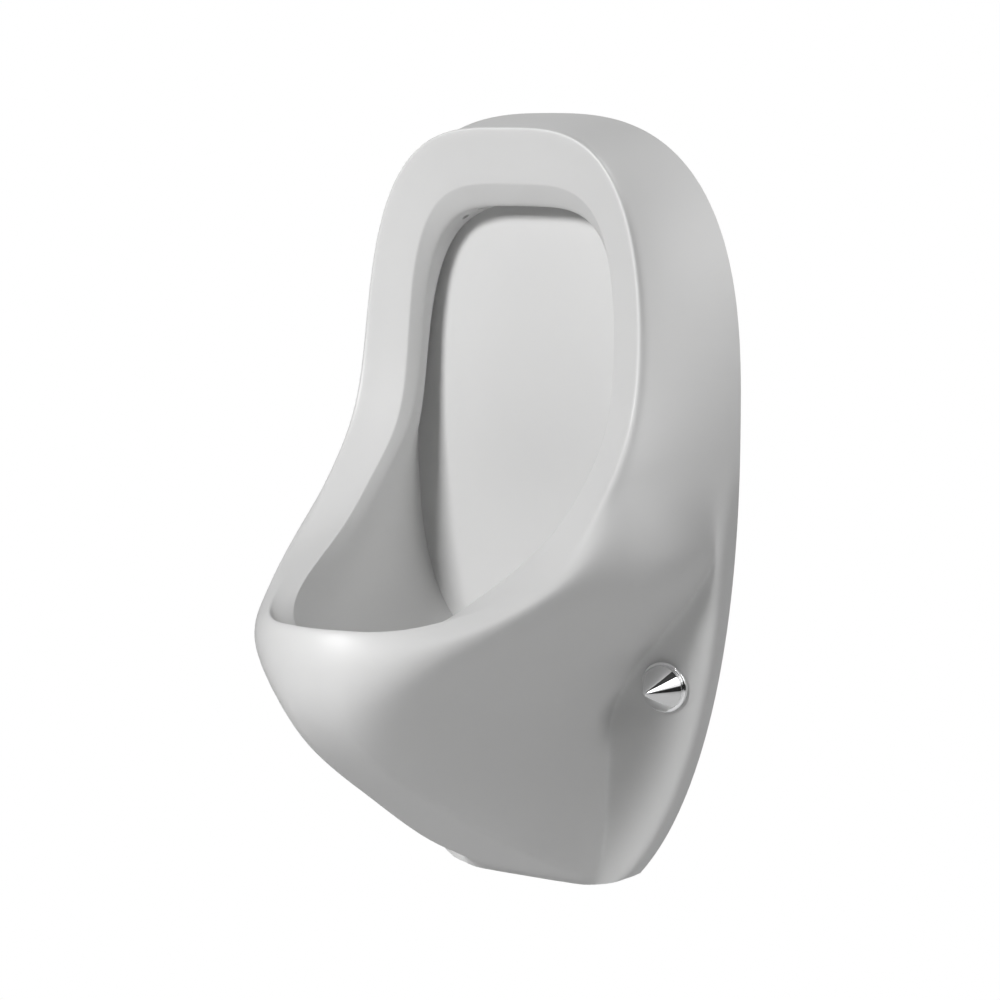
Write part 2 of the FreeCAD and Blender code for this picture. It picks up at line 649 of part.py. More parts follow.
def trap_cup():
    """Screwed cup that closes the trap from below, with ribs for the grip."""
    outer = TRAP_RADIUS + CUP_LIP
    bore = CUP_THREAD - CUP_WALL
    top = TRAP_BOTTOM + THREAD_SKIRT
    cup = turned([(0, CUP_BOTTOM), (outer - CUP_ROUND, CUP_BOTTOM), (outer, CUP_BOTTOM + CUP_ROUND),
                  (outer, CUP_RIM), (CUP_THREAD, CUP_RIM), (CUP_THREAD, top), (bore, top),
                  (bore, CUP_BOTTOM + CUP_WALL), (0, CUP_BOTTOM + CUP_WALL)], DRAIN, UP)
    ribs = []
    for k in range(CUP_RIB_COUNT):
        turn = 2 * math.pi * k / CUP_RIB_COUNT
        out = outer + CUP_RIB_PROUD - CUP_RIB_RADIUS
        foot = drain_at(CUP_BOTTOM + CUP_ROUND) + V(out * math.cos(turn), out * math.sin(turn), 0)
        ribs.append(Part.makeCylinder(CUP_RIB_RADIUS, CUP_RIM - CUP_BOTTOM - CUP_ROUND, foot))
    return cup.fuse(ribs).removeSplitter()


def trap_cup_seal():
    return tube(drain_at(CUP_RIM), UP, SEAL_THICKNESS, TRAP_RADIUS, TRAP_INSIDE)


def ring_nut(centre, axis, hole, bore, skirt):
    """Round union nut with an inward lip at its start and scallops for the grip."""
    outer = bore + NUT_WALL
    length = NUT_LIP + skirt
    nut = turned([(hole, 0), (outer, 0), (outer, length), (bore, length), (bore, NUT_LIP), (hole, NUT_LIP)],
                 V(0, 0, 0), UP)
    out = outer + NUT_SCALLOP_RADIUS - NUT_SCALLOP_DEPTH
    scallops = []
    for k in range(NUT_SCALLOP_COUNT):
        turn = 2 * math.pi * k / NUT_SCALLOP_COUNT
        scallops.append(Part.makeCylinder(NUT_SCALLOP_RADIUS, length,
                                          V(out * math.cos(turn), out * math.sin(turn), 0)))
    nut = nut.cut(scallops)
    nut.Placement = FreeCAD.Placement(centre, FreeCAD.Rotation(UP, axis))
    return nut


def trap_inlet_seal():
    return tube(drain_at(NECK_TOP), UP, JOINT_SEAL, NECK_RADIUS, NECK_BORE)


def trap_inlet_nut():
    return ring_nut(drain_at(NECK_TOP + JOINT_SEAL + NUT_LIP), DOWN, NECK_BORE, NECK_RADIUS + FIT_CLEARANCE,
                    INLET_NUT_SKIRT)


def trap_outlet_seal():
    return tube(V(0, -STUB_END, OUTLET_HEIGHT), IN, JOINT_SEAL, STUB_RADIUS, SOCKET_BORE)


def trap_outlet_nut():
    start = STUB_END - JOINT_SEAL - NUT_LIP
    bore = STUB_RADIUS + FIT_CLEARANCE
    return ring_nut(V(0, -start, OUTLET_HEIGHT), OUT, SOCKET_BORE, bore, OUTLET_NUT_SKIRT)


def waste_pipe():
    """Pipe from the trap into the wall, with a stop bead that lies against the wall."""
    length = STUB_END + SOCKET_DEPTH + PIPE_INTO_WALL
    bead = PIPE_RADIUS + PIPE_BEAD
    bead_end = PIPE_INTO_WALL + PIPE_BEAD_LENGTH
    bore = PIPE_RADIUS - PIPE_WALL
    return turned([(bore, 0), (PIPE_RADIUS, 0), (PIPE_RADIUS, PIPE_INTO_WALL), (bead, PIPE_INTO_WALL),
                   (bead, bead_end), (PIPE_RADIUS, bead_end), (PIPE_RADIUS, length), (bore, length)],
                  V(0, PIPE_INTO_WALL, OUTLET_HEIGHT), OUT)


def inlet_pipe():
    """Supply pipe in the wall with a narrower spigot that goes through the grommet."""
    length = INLET_INTO_WALL + INLET_INSIDE
    bore = INLET_PIPE_RADIUS - INLET_PIPE_WALL
    return turned([(bore, 0), (INLET_PIPE_RADIUS, 0), (INLET_PIPE_RADIUS, INLET_INTO_WALL),
                   (INLET_SPIGOT_RADIUS, INLET_INTO_WALL), (INLET_SPIGOT_RADIUS, length), (bore, length)],
                  V(0, INLET_INTO_WALL, INLET_HEIGHT), OUT)


def inlet_grommet():
    """Rubber sleeve between the pipe and the back of the flush chamber, with a lip inside."""
    bore = INLET_SPIGOT_RADIUS
    sleeve = INLET_HOLE_RADIUS - FIT_CLEARANCE
    return turned([(bore, 0), (sleeve, 0), (sleeve, SHELL), (GROMMET_LIP_RADIUS, SHELL),
                   (GROMMET_LIP_RADIUS, SHELL + GROMMET_LIP), (bore, SHELL + GROMMET_LIP)],
                  V(0, 0, INLET_HEIGHT), OUT)


def fixing_bolt(side):
    """Hanger bolt: a coarse pointed end in the wall and a finer shank for the nut."""
    end = NUT_FACE + BOLT_PROUD + BOLT_INTO_WALL
    return turned([(0, 0), (BOLT_RADIUS, BOLT_POINT), (BOLT_RADIUS, BOLT_INTO_WALL),
                   (SHANK_RADIUS, BOLT_INTO_WALL), (SHANK_RADIUS, end), (0, end)],
                  fixing_at(side, -BOLT_INTO_WALL), OUT)


def fixing_sleeve(side):
    """Plastic sleeve that keeps the bolt off the ceramic, with a collar on the flange."""
    bore = SHANK_RADIUS + FIT_CLEARANCE
    sleeve = FIXING_HOLE_RADIUS - FIT_CLEARANCE
    return turned([(bore, SLEEVE_START), (sleeve, SLEEVE_START), (sleeve, FLANGE_SEAT),
                   (SLEEVE_COLLAR_RADIUS, FLANGE_SEAT), (SLEEVE_COLLAR_RADIUS, COLLAR_FACE),
                   (bore, COLLAR_FACE)], fixing_at(side, 0), OUT)


def fixing_washer(side):
    bore = SHANK_RADIUS + FIT_CLEARANCE
    return tube(fixing_at(side, COLLAR_FACE), OUT, WASHER_THICKNESS, WASHER_RADIUS, bore)


def fixing_nut(side):
    return hexagon(NUT_FLATS, NUT_THICKNESS, fixing_at(side, WASHER_FACE), OUT, SHANK_RADIUS)


def cap_base(side):
    """Round base on the flange with a spigot that the cap slips over."""
    edge = CAP_BASE_THICKNESS - CAP_BASE_ROUND
    top = CAP_BASE_THICKNESS + CAP_SKIRT
    return turned([(CAP_BASE_HOLE, 0), (CAP_BASE_RADIUS, 0), (CAP_BASE_RADIUS, edge),
                   (CAP_BASE_RADIUS - CAP_BASE_ROUND, CAP_BASE_THICKNESS),
                   (CAP_SPIGOT_RADIUS, CAP_BASE_THICKNESS), (CAP_SPIGOT_RADIUS, top), (CAP_BASE_HOLE, top)],
                  fixing_at(side, FLANGE_SEAT), OUT)


def cover_cap(side):
    """Hollow conical cap with a short straight skirt."""
    bore = CAP_SPIGOT_RADIUS + SLIDE_CLEARANCE
    slope = (CAP_RADIUS - CAP_TIP_RADIUS) / (CAP_LENGTH - CAP_TIP_ROUND - CAP_SKIRT)
    inside = CAP_SKIRT + (bore - CAP_TIP_RADIUS) / slope
    return turned([(bore, 0), (CAP_RADIUS, 0), (CAP_RADIUS, CAP_SKIRT),
                   (CAP_TIP_RADIUS, CAP_LENGTH - CAP_TIP_ROUND), (CAP_TIP_RADIUS / 2, CAP_LENGTH),
                   (0, CAP_LENGTH), (0, inside), (CAP_TIP_RADIUS, inside), (bore, CAP_SKIRT)],
                  fixing_at(side, CAP_FACE), OUT)


def hanger_bracket(side):
    """Angled hook on the wall: a plate, a tongue under the ledge and a lip in front of it."""
    centre = side * HANGER_SPACING / 2
    wide = (centre - HANGER_WIDTH / 2, centre + HANGER_WIDTH / 2)
    lip = LEDGE_FAR + HANGER_GAP
    plate = block(wide, (-HANGER_PLATE, 0), (LEDGE_HEIGHT - HANGER_LENGTH, LEDGE_HEIGHT))
    tongue = block(wide, (-lip - HANGER_PLATE, 0), (LEDGE_HEIGHT - HANGER_PLATE, LEDGE_HEIGHT))
    hook = block(wide, (-lip - HANGER_PLATE, -lip), (LEDGE_HEIGHT - HANGER_PLATE, LEDGE_HEIGHT + HANGER_LIP))
    hole = Part.makeCylinder(HANGER_SCREW_RADIUS + FIT_CLEARANCE, HANGER_PLATE,
                             V(centre, 0, LEDGE_HEIGHT - HANGER_SCREW_DROP), OUT)
    return plate.fuse([tongue, hook]).cut(hole).removeSplitter()


def hanger_screw(side):
    """Screw with a flat round head and a plain shank, threaded where it goes into the wall."""
    point = HANGER_SCREW_RADIUS
    seat = HANGER_SCREW_INTO_WALL + HANGER_PLATE
    return turned([(0, 0), (HANGER_SCREW_RADIUS, point), (HANGER_SCREW_RADIUS, HANGER_SCREW_INTO_WALL),
                   (HANGER_SHANK_RADIUS, HANGER_SCREW_INTO_WALL), (HANGER_SHANK_RADIUS, seat),
                   (HANGER_HEAD_RADIUS, seat), (HANGER_HEAD_RADIUS, seat + HANGER_HEAD_HEIGHT / 2),
                   (HANGER_SCREW_RADIUS, seat + HANGER_HEAD_HEIGHT), (0, seat + HANGER_HEAD_HEIGHT)],
                  V(side * HANGER_SPACING / 2, HANGER_SCREW_INTO_WALL, LEDGE_HEIGHT - HANGER_SCREW_DROP), OUT)


SINGLE_PIECES = (ceramic_body, waste_upper_seal, waste_body, waste_lower_seal, waste_backnut, drain_strainer,
                 trap_inlet_seal, trap_inlet_nut, trap_head, trap_cup_seal, trap_cup, trap_outlet_seal,
                 trap_outlet_nut, waste_pipe, inlet_grommet, inlet_pipe)
PAIRED_PIECES = (fixing_bolt, fixing_sleeve, fixing_washer, fixing_nut, cap_base, cover_cap,
                 hanger_bracket, hanger_screw)

PARTS = {make.__name__: make() for make in SINGLE_PIECES}
for make in PAIRED_PIECES:
    PARTS["left_" + make.__name__] = make(-1)
    PARTS["right_" + make.__name__] = make(1)


def export(parts):
    os.makedirs("parts", exist_ok=True)
    for name, shape in parts.items():
        shape = shape.copy()
        shape.translate(V(0, 0, -FIXING_HEIGHT))
        shape.exportStep("parts/" + name + ".step")
        print(name, shape.isValid(), len(shape.Solids), round(shape.Volume, 1))


export(PARTS)
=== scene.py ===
# %% [markdown]
# # A wall-hung urinal in glazed ceramic
# The construction model gives every piece its place and its size. This lesson dresses it: the casting is
# drawn again as one smooth surface, because glaze shows every facet, the turned metal gets fine round
# profiles, and each piece gets a finish made of nodes. All lengths are metres, +Z is up and the wall is the
# plane Y = 0.

# %% The frame
import json
import math

import bpy
import numpy as np
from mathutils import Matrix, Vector


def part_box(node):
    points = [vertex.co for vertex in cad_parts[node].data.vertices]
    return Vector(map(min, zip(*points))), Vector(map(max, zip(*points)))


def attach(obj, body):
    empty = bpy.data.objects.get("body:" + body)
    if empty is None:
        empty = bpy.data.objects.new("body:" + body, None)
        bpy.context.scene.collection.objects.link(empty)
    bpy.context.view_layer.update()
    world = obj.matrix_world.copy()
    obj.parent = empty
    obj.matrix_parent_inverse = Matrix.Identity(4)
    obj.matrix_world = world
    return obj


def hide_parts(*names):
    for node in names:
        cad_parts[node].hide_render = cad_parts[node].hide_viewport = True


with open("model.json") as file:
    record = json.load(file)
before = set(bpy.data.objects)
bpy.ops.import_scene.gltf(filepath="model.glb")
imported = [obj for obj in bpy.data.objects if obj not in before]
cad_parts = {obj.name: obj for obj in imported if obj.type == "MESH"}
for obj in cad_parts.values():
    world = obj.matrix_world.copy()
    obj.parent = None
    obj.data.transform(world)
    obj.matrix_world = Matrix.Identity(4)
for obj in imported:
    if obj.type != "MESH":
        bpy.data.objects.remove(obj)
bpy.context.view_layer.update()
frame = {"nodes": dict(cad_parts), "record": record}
CASTING_LOW, CASTING_HIGH = (np.array(corner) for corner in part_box("ceramic_body"))
FOOT = CASTING_LOW[2]
HEIGHT = CASTING_HIGH[2] - CASTING_LOW[2]
WALL_HALF = (CASTING_HIGH[0] - CASTING_LOW[0]) / 2

# %% [markdown]
# ## Camera
# The picture was taken from the user's right and a little above the middle, through a long lens. The camera
# stands at that angle, and a small shift sets the object where it is in the frame.

# %% Camera
AZIMUTH = math.radians(32)
ELEVATION = math.radians(8)
CAMERA_DISTANCE = 2.0
TARGET = Vector((0, -0.080, FOOT + 0.282))
LENS_PX = 2788.75
TARGET_PX = (490.46, 511.41)
IMAGE_PX = 1000

towards = Vector((math.sin(AZIMUTH) * math.cos(ELEVATION), -math.cos(AZIMUTH) * math.cos(ELEVATION),
                  math.sin(ELEVATION)))
camera_data = bpy.data.cameras.new("camera")
camera_data.sensor_width = 36
camera_data.lens = camera_data.sensor_width * LENS_PX / IMAGE_PX
camera_data.shift_x = 0.5 - TARGET_PX[0] / IMAGE_PX
camera_data.shift_y = TARGET_PX[1] / IMAGE_PX - 0.5
camera = bpy.data.objects.new("camera", camera_data)
camera.location = TARGET + towards * CAMERA_DISTANCE
camera.rotation_euler = (-towards).to_track_quat("-Z", "Y").to_euler()
bpy.context.scene.collection.objects.link(camera)
bpy.context.scene.camera = camera
print("camera", [round(v, 3) for v in camera.location], "lens", round(camera_data.lens, 1), "mm")

# %% [markdown]
# ## From arrays to meshes
# Every new piece here is a grid of points: rows run along a profile and columns run round it. One helper
# closes such a grid with a fan of triangles at each end. Another joins its last row to its first, as in a
# ring.


# %% Grid to mesh
def grid_faces(rows, columns):
    """Quads between neighbouring rows of a grid whose columns close on themselves."""
    r, c = np.meshgrid(np.arange(rows - 1), np.arange(columns), indexing="ij")
    right = (c + 1) % columns
    corners = [r * columns + c, r * columns + right, (r + 1) * columns + right, (r + 1) * columns + c]
    return np.stack(corners, -1).reshape(-1, 4)


def fan_faces(pole, ring, columns, outward):
    """Triangles from one pole vertex to a ring that starts at vertex `ring`."""
    c = np.arange(columns)
    a, b = ring + c, ring + (c + 1) % columns
    pole = np.full(columns, pole)
    return np.stack([pole, a, b] if outward else [pole, b, a], -1)


def signed_volume(points, quads):
    """Sum of the tetrahedra from the points' middle to each quad, positive when the faces look outwards."""
    a, b, c, d = (points[quads[:, k]] - points.mean(0) for k in range(4))
    return np.sum(a * np.cross(b, c) + a * np.cross(c, d)) / 6


def closed_surface(grid):
    """Vertices and faces of a grid whose first and last rows are closed by poles at their middles."""
    rows, columns = grid.shape[:2]
    poles = np.stack([grid[0].mean(0), grid[-1].mean(0)])
    points = np.concatenate([grid.reshape(-1, 3), poles])
    quads = grid_faces(rows, columns)
    count = rows * columns
    fans = np.concatenate([fan_faces(count, 0, columns, False),
                           fan_faces(count + 1, count - columns, columns, True)])
    if signed_volume(points, quads) < 0:
        quads, fans = quads[:, ::-1], fans[:, ::-1]
    return points, quads.tolist() + fans.tolist()


def ring_surface(grid):
    """Vertices and faces of a grid whose last row joins its first, so that it closes like a ring."""
    rows, columns = grid.shape[:2]
    points = grid.reshape(-1, 3)
    quads = grid_faces(rows + 1, columns) % len(points)
    return points, (quads if signed_volume(points, quads) > 0 else quads[:, ::-1]).tolist()


def joined_mesh(name, surfaces):
    """One mesh from several surfaces, each a pair of points and faces."""
    points, faces, start = [], [], 0
    for surface_points, surface_faces in surfaces:
        points.append(surface_points)
        faces += [[start + v for v in face] for face in surface_faces]
        start += len(surface_points)
    mesh = bpy.data.meshes.new(name)
    mesh.from_pydata(np.concatenate(points).tolist(), [], faces)
    return mesh


def mesh_piece(name, surfaces, body, sharp_deg=40):
    """One object from several surfaces, shaded smooth except across edges sharper than sharp_deg."""
    mesh = joined_mesh(name, surfaces)
    mesh.polygons.foreach_set("use_smooth", np.ones(len(mesh.polygons), dtype=bool))
    mesh.set_sharp_from_angle(angle=math.radians(sharp_deg))
    piece = bpy.data.objects.new(name, mesh)
    bpy.context.scene.collection.objects.link(piece)
    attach(piece, body)
    print(name, len(mesh.vertices), "points", len(mesh.polygons), "faces")
    return piece


# %% [markdown]
# ## The casting's outlines
# The casting is ruled by three egg-shaped outlines, each a superellipse with its own power above and below
# its widest line: the edge on the wall, the crest of the rim and the edge of the splash panel. The crest also
# swings forward from the arch to the lip. A logistic curve of the cosine gives that swing, because it is flat
# at the top and at the very front.

# %% Outlines
LIP_REACH = 0.3025
LIP_HEIGHT = 0.226
WIDEST_HEIGHT = 0.345
OUTLINE_DROP = 0.030
CREST_HALF = 0.1155
CREST_TOP = HEIGHT - 0.011
CREST_MIDDLE = 0.3215
RIM_REACH = 0.0635
LIP_TURN, LIP_SPREAD = math.radians(136), math.radians(10)
ARM_TURN, ARM_SPREAD = math.radians(100.5), math.radians(16)
ARM_SHARE = 0.43
WALL_POWERS = (2.75, 2.26)
CREST_POWERS = (3.3, 3.35)
COLUMNS = 320
turn = np.linspace(0, 2 * np.pi, COLUMNS, endpoint=False)


def mix(a, b, share):
    """What lies at a share of the way from a to b."""
    return a + (b - a) * share


def ease(share):
    """Smooth step: 3 s squared minus 2 s cubed, held between 0 and 1."""
    share = np.clip(share, 0, 1)
    return share * share * (3 - 2 * share)


def egg(half, top, bottom, middle, upper_power, lower_power):
    """Radius r with |r cos t / reach|^p + |r sin t / half|^p = 1; reach and p differ above and below."""
    upper = np.cos(turn) > 0
    reach = np.where(upper, top - middle, middle - bottom)
    power = np.where(upper, upper_power, lower_power)
    radius = (np.abs(np.cos(turn) / reach) ** power + np.abs(np.sin(turn) / half) ** power) ** (-1 / power)
    return radius * np.sin(turn), middle + radius * np.cos(turn)


def place(x, reach, height):
    """Points from a sideways place, a reach out from the wall and a height above the foot."""
    return np.stack(np.broadcast_arrays(x, -np.asarray(reach), height), -1)


def fall_off(cosine, middle, spread):
    """Logistic step in an angle's cosine: 1 / (1 + e^u), with u the way past the middle over the spread."""
    return 1 / (1 + np.exp((cosine - math.cos(middle)) / (spread * math.sin(middle))))


def swing_at(cosine):
    """Way forward of the crest, first along the arms of the rim and then round the lip."""
    return mix(fall_off(cosine, LIP_TURN, LIP_SPREAD), fall_off(cosine, ARM_TURN, ARM_SPREAD), ARM_SHARE)


swing = swing_at(np.cos(turn)) / swing_at(-1.0)
wall_x, wall_z = egg(WALL_HALF, HEIGHT, -OUTLINE_DROP, WIDEST_HEIGHT, *WALL_POWERS)
crest_x, crest_z = egg(CREST_HALF, CREST_TOP, LIP_HEIGHT, CREST_MIDDLE, *CREST_POWERS)
crest = place(crest_x, mix(RIM_REACH, LIP_REACH, swing), crest_z)
print("crest reaches", round(float(-crest[:, 1].max()), 3), "to", round(float(-crest[:, 1].min()), 3))

# %% [markdown]
# ## Rings from the wall to the crest
# On the arch the skin runs almost straight from the wall to the crest. Beside the skirt it lies on the wall
# as a flange, turns at the root of the skirt and bulges out to the lip. Both ways are written as the same
# number of rings, and a smooth step down the height blends one into the other.

# %% Outer rings
FLANGE = 0.022
FLANGE_START = 0.264
FLANGE_FULL = 0.115
SKIRT_START = 0.330
SKIRT_FULL = 0.225
SKIRT_HALF = 0.0675
BELLY_BULGE = 0.0205
ROOT_STEP = 0.002
ROOT_SOFTNESS = 0.012
PINCH_SHARE, PINCH_POWER = 0.9, 4
ROOT_SHARE = 0.97
EDGE_RISE, EDGE_SHARE, FACE_SHARE = 0.65, 0.985, 0.15
ARCH_SHARES = (0.0, 0.10, 0.22, 0.36, 0.50, 0.62, 0.74, 0.86, 0.94)
ARCH_BEND = 4
# Shares of the way from the root to the crest: across, up, forward, and of the bulge.
SKIRT_SHARES = ((0.08, 0.025, 0.03, 0.35), (0.35, 0.16, 0.29, 0.88),
                (0.84, 0.41, 0.63, 1.04), (1.11, 0.73, 1.06, 1.0))

crest_reach = -crest[:, 1]
free = ease((FLANGE_START - wall_z) / (FLANGE_START - FLANGE_FULL))
skirted = ease((SKIRT_START - wall_z) / (SKIRT_START - SKIRT_FULL))
wide = np.abs(wall_x) * PINCH_SHARE
pinched_x = np.sign(wall_x) * wide / (1 + (wide / SKIRT_HALF) ** PINCH_POWER) ** (1 / PINCH_POWER)
root_x = mix(wall_x * ROOT_SHARE, pinched_x, free)
root_z = (wall_z + np.hypot(wall_z, ROOT_SOFTNESS)) / 2
skirt_rings = [place(wall_x, 0, wall_z), place(wall_x, FLANGE * EDGE_RISE, wall_z),
               place(wall_x * EDGE_SHARE, FLANGE, wall_z),
               place(mix(root_x, wall_x, FACE_SHARE), FLANGE, wall_z),
               place(root_x, FLANGE + ROOT_STEP, root_z)]
for across, rise, forward, bulge in SKIRT_SHARES:
    side = mix(root_x, crest_x, across) + BELLY_BULGE * bulge * np.sin(turn)
    skirt_rings.append(place(side, mix(FLANGE, crest_reach, forward), mix(root_z, crest_z, rise)))
shares = np.array(ARCH_SHARES)[:, None]
bend = shares[ARCH_BEND]
edge_share = bend * RIM_REACH / crest_reach
shares = np.where(shares < bend, shares * RIM_REACH / crest_reach,
                  mix(edge_share, 1, (shares - bend) / (1 - bend)))
arch_rings = [place(mix(wall_x, crest_x, s), crest_reach * s, mix(wall_z, crest_z, s)) for s in shares]
outer_rings = [mix(a, b, skirted[:, None]) for a, b in zip(arch_rings, skirt_rings)]
print(len(outer_rings), "rings from the wall to the crest")

# %% [markdown]
# ## Rings from the rim to the panel
# Inside the crest the rim is a broad flat band with a crisp edge. A short step behind the edge hangs over the
# splash panel, and in the bowl the wall sags down to the floor before it meets the panel.

# %% Inner rings
PANEL_REACH = 0.016
PANEL_MIDDLE = 0.350
STEP_DEPTH = 0.012
BOWL_SAG = 0.028
RIM_HALF, RIM_CROWN, RIM_FOOT = CREST_HALF - 0.028, CREST_TOP - 0.0395, LIP_HEIGHT - 0.0155
RIM_BACK, LIP_BACK = 0.0125, 0.037
RIM_POWERS = (4.0, 2.5)
STEP_IN, STEP_DROP = 0.004, 0.016
PANEL_HALF, PANEL_CROWN, PANEL_FOOT = 0.104, HEIGHT - 0.064, 0.165
PANEL_POWERS = (2.6, 3.0)
RIM_SHARES = (0.22, 0.80, 1.0)
# Shares of the way from the step to the panel: across, back on the arch, back in the bowl, and of the sag.
BOWL_SHARES = ((0.10, 0.45, 0.14, 0.35), (0.40, 0.72, 0.45, 0.90), (0.72, 0.90, 0.80, 0.80),
               (0.96, 0.97, 0.93, 0.30), (1.0, 1.0, 1.0, 0.0))
RIM_RING, STEP_RING = 12, 13
CRISP_RIM, CRISP_STEP = 0.2, 0.25

rim_x, rim_z = egg(RIM_HALF, RIM_CROWN, RIM_FOOT, CREST_MIDDLE, *RIM_POWERS)
step_x, step_z = egg(RIM_HALF - STEP_IN, RIM_CROWN - STEP_DROP, RIM_FOOT, CREST_MIDDLE, *RIM_POWERS)
panel_x, panel_z = egg(PANEL_HALF, PANEL_CROWN, PANEL_FOOT, PANEL_MIDDLE, *PANEL_POWERS)
rim_reach = mix(RIM_REACH - RIM_BACK, LIP_REACH - LIP_BACK, swing)
rim = place(rim_x, rim_reach, rim_z)
step = place(mix(step_x, rim_x, swing), rim_reach - STEP_DEPTH, mix(step_z, rim_z - STEP_DEPTH, swing))
inner_rings = [mix(crest, rim, share) for share in RIM_SHARES] + [step]
for across, back_arch, back_bowl, sag in BOWL_SHARES:
    reach = mix(rim_reach - STEP_DEPTH, PANEL_REACH, mix(back_arch, back_bowl, swing))
    height = mix(step[:, 2], panel_z, across) - BOWL_SAG * sag * swing
    inner_rings.append(place(mix(step[:, 0], panel_x, across), reach, height))
# A cubic B-spline passes (a + 4 b + c) / 6 at its pole b, so this pole lays the skin through the crest.
crest_pole = (crest * 6 - outer_rings[-1] - inner_rings[0]) / 4
skin_rings = np.stack(outer_rings + [crest_pole] + inner_rings)
before, at_rim, at_step, after = skin_rings[RIM_RING - 1:STEP_RING + 2]
crisp = [mix(at_rim, before, CRISP_RIM), mix(at_rim, at_step, CRISP_RIM), mix(at_step, after, CRISP_STEP)]
shown_rings = np.insert(skin_rings, [RIM_RING, STEP_RING, STEP_RING + 1], crisp, axis=0)
print(shown_rings.shape, "control rings of the skin")

# %% [markdown]
# ## A cubic spline through the rings
# The rings are the control points of a cubic B-spline with clamped ends. The basis is a matrix of a few dozen
# rows, so the whole skin is one product of two arrays. The corners of the foot are then rounded up a little.


# %% Spline across the rings
def cubic_basis(count, samples):
    """Clamped uniform cubic B-spline weights by the Cox-de Boor rule: one row for each sample."""
    knots = np.concatenate([np.zeros(3), np.arange(count - 2), np.full(3, count - 3)]).astype(float)
    t = np.clip(samples, 0, count - 3 - 1e-9)[:, None]
    weights = ((knots[:-1] <= t) & (t < knots[1:])).astype(float)
    for degree in (1, 2, 3):
        left, right = knots[:-degree - 1], knots[degree:-1]
        rise = np.where(right > left, (t - left) / np.where(right > left, right - left, 1), 0)
        left, right = knots[1:-degree], knots[degree + 1:]
        fall = np.where(right > left, (right - t) / np.where(right > left, right - left, 1), 0)
        weights = rise * weights[:, :-1] + fall * weights[:, 1:]
    return weights


def ruled(rings, count):
    """Rows of the surface that the control rings rule: the weights of each row times the rings."""
    weights = cubic_basis(len(rings), np.linspace(0, len(rings) - 3, count))
    return np.einsum("sr,rcx->scx", weights, rings)


SKIN_ROWS = 212
FOOT_ROUND, FOOT_FLAT, FOOT_SPREAD = 0.002, 0.040, 0.020
FOOT_BAND = 0.030

skin = ruled(shown_rings, SKIN_ROWS)
foot_edge = FOOT_ROUND * (np.maximum(np.abs(skin[..., 0]) - FOOT_FLAT, 0) / FOOT_SPREAD) ** 2
skin[..., 2] = np.where(skin[..., 2] < FOOT_BAND, np.maximum(skin[..., 2], foot_edge), skin[..., 2])
print("skin spans", np.round(skin.reshape(-1, 3).min(0), 3), np.round(skin.reshape(-1, 3).max(0), 3))

# %% [markdown]
# ## Drain dish and fixing seats
# A grinder makes a flat seat for each fixing, and the floor of the bowl is dished for the waste. On a grid
# both are limits: a point inside the seat's circle may not stand out further than the seat, and a point above
# the dish may not stand higher than the dish.

# %% Seats and dish
DRAIN_REACH = 0.062
SEAT_HEIGHT = 0.147
FIXING_X = 0.112
FIXING_HEIGHT = -FOOT
SPOT_RADIUS = 0.0195
FLANGE_SEAT = FLANGE - 0.0006
INSIDE_SHARE = 0.62
DISH = ((0.0335, SEAT_HEIGHT), (0.0445, SEAT_HEIGHT + 0.012), (0.0450, SEAT_HEIGHT + 0.10))

away = np.hypot(np.abs(skin[..., 0]) - FIXING_X, skin[..., 2] - FIXING_HEIGHT)
skin[..., 1] = np.where(away < SPOT_RADIUS, np.maximum(skin[..., 1], -FLANGE_SEAT), skin[..., 1])
from_drain = np.hypot(skin[..., 0], skin[..., 1] + DRAIN_REACH)
dish = np.interp(from_drain, *zip(*DISH))
in_bowl = (np.arange(SKIN_ROWS)[:, None] > SKIN_ROWS * INSIDE_SHARE) & (skin[..., 2] < LIP_HEIGHT)
skin[..., 2] = np.where(in_bowl & (from_drain < DISH[-1][0]), np.minimum(skin[..., 2], dish), skin[..., 2])
print(int((away < SPOT_RADIUS).sum()), "points on the fixing seats")

# %% [markdown]
# ## The hollow back
# A casting this thick would crack in the kiln, so its back is hollow. The hollow's rings follow the skin at
# the wall's thickness, in at the back, forward inside the wall and back behind the bowl. Webs close it at
# each side of the bowl, and a flat web below the arch keeps the water chamber apart. Under the drain dish the
# hollow stays below the boss.

# %% Hollow rings
SHELL = 0.010
CONTACT = 0.016
CORNER_SPREAD = 0.013
CHAMBER_FLOOR = 0.498
REAR_SHARE = 0.93
WEB_TURN, WEB_SPREAD, WEB_POWER = 142.0, 20.0, 4
WEB_LEVELS = (0.36, 0.58)
MOST_OF_GAP = 0.4
OUTER_WALL, BOWL_WALL = (5, 6, 7), (15, 16)
SIDE_STEP = COLUMNS // 60
HOLLOW_ROWS = 50
BOSS_LIMIT = ((0.036, SEAT_HEIGHT - 0.0125), (0.052, SEAT_HEIGHT + 0.020), (0.053, HEIGHT))


def across_wall(ring, other):
    """A ring moved by the wall's thickness towards the skin on the other side, short of the middle."""
    gap = skin_rings[other] - skin_rings[ring]
    length = np.linalg.norm(gap, axis=-1, keepdims=True)
    return skin_rings[ring] + gap * np.minimum(SHELL / length, MOST_OF_GAP)


def into_wall(ring):
    """A ring moved along the cross product of its two directions, square into the wall and above the foot."""
    round_ring = np.roll(skin_rings[ring], -SIDE_STEP, 0) - np.roll(skin_rings[ring], SIDE_STEP, 0)
    normal = np.cross(round_ring, skin_rings[ring + 1] - skin_rings[ring - 1])
    moved = skin_rings[ring] + SHELL * normal / np.linalg.norm(normal, axis=-1, keepdims=True)
    moved[:, 2] = np.maximum(moved[:, 2], SHELL)
    return moved


